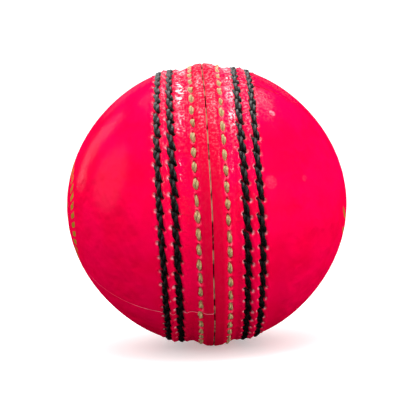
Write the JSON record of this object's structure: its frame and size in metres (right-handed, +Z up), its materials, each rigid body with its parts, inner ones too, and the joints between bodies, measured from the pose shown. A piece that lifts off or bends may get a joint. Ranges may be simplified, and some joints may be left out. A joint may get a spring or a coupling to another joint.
{
  "type": "cricket ball",
  "caption": "Hard leather-covered ball with a raised hand-stitched seam round its middle, a cork and yarn core and a pink cover.",
  "frame": {"origin": "centre of the ball", "axes": "+X along the seam axis, from the left cup's pole to the right cup's pole, so the stitched seam lies in the YZ plane; +Z up; -Y towards the viewer who sees the seam upright"},
  "size_m": [0.072, 0.0724, 0.0724],
  "materials": {
    "pink_leather": "gloss",
    "black_thread": "satin",
    "tan_thread": "matte",
    "joint_thread": "matte",
    "lining_leather": "matte",
    "worsted_yarn": "matte",
    "cork": "matte"
  },
  "bodies": {
    "root": {"cork_nucleus": "cork", "inner_yarn_winding": "worsted_yarn", "middle_yarn_winding": "worsted_yarn", "outer_yarn_winding": "worsted_yarn", "inner_cork_strip_1": "cork", "inner_cork_strip_2": "cork", "inner_cork_strip_3": "cork", "inner_cork_strip_4": "cork", "outer_cork_strip_1": "cork", "outer_cork_strip_2": "cork", "outer_cork_strip_3": "cork", "outer_cork_strip_4": "cork", "left_cup_lining": "lining_leather", "left_front_quarter": "pink_leather", "left_back_quarter": "pink_leather", "left_quarter_joint_thread": "joint_thread", "left_closing_thread": "tan_thread", "left_inner_seam_thread": "black_thread", "left_outer_seam_thread": "black_thread", "right_cup_lining": "lining_leather", "right_front_quarter": "pink_leather", "right_back_quarter": "pink_leather", "right_quarter_joint_thread": "joint_thread", "right_closing_thread": "tan_thread", "right_inner_seam_thread": "black_thread", "right_outer_seam_thread": "black_thread"}
  },
  "joints": []
}
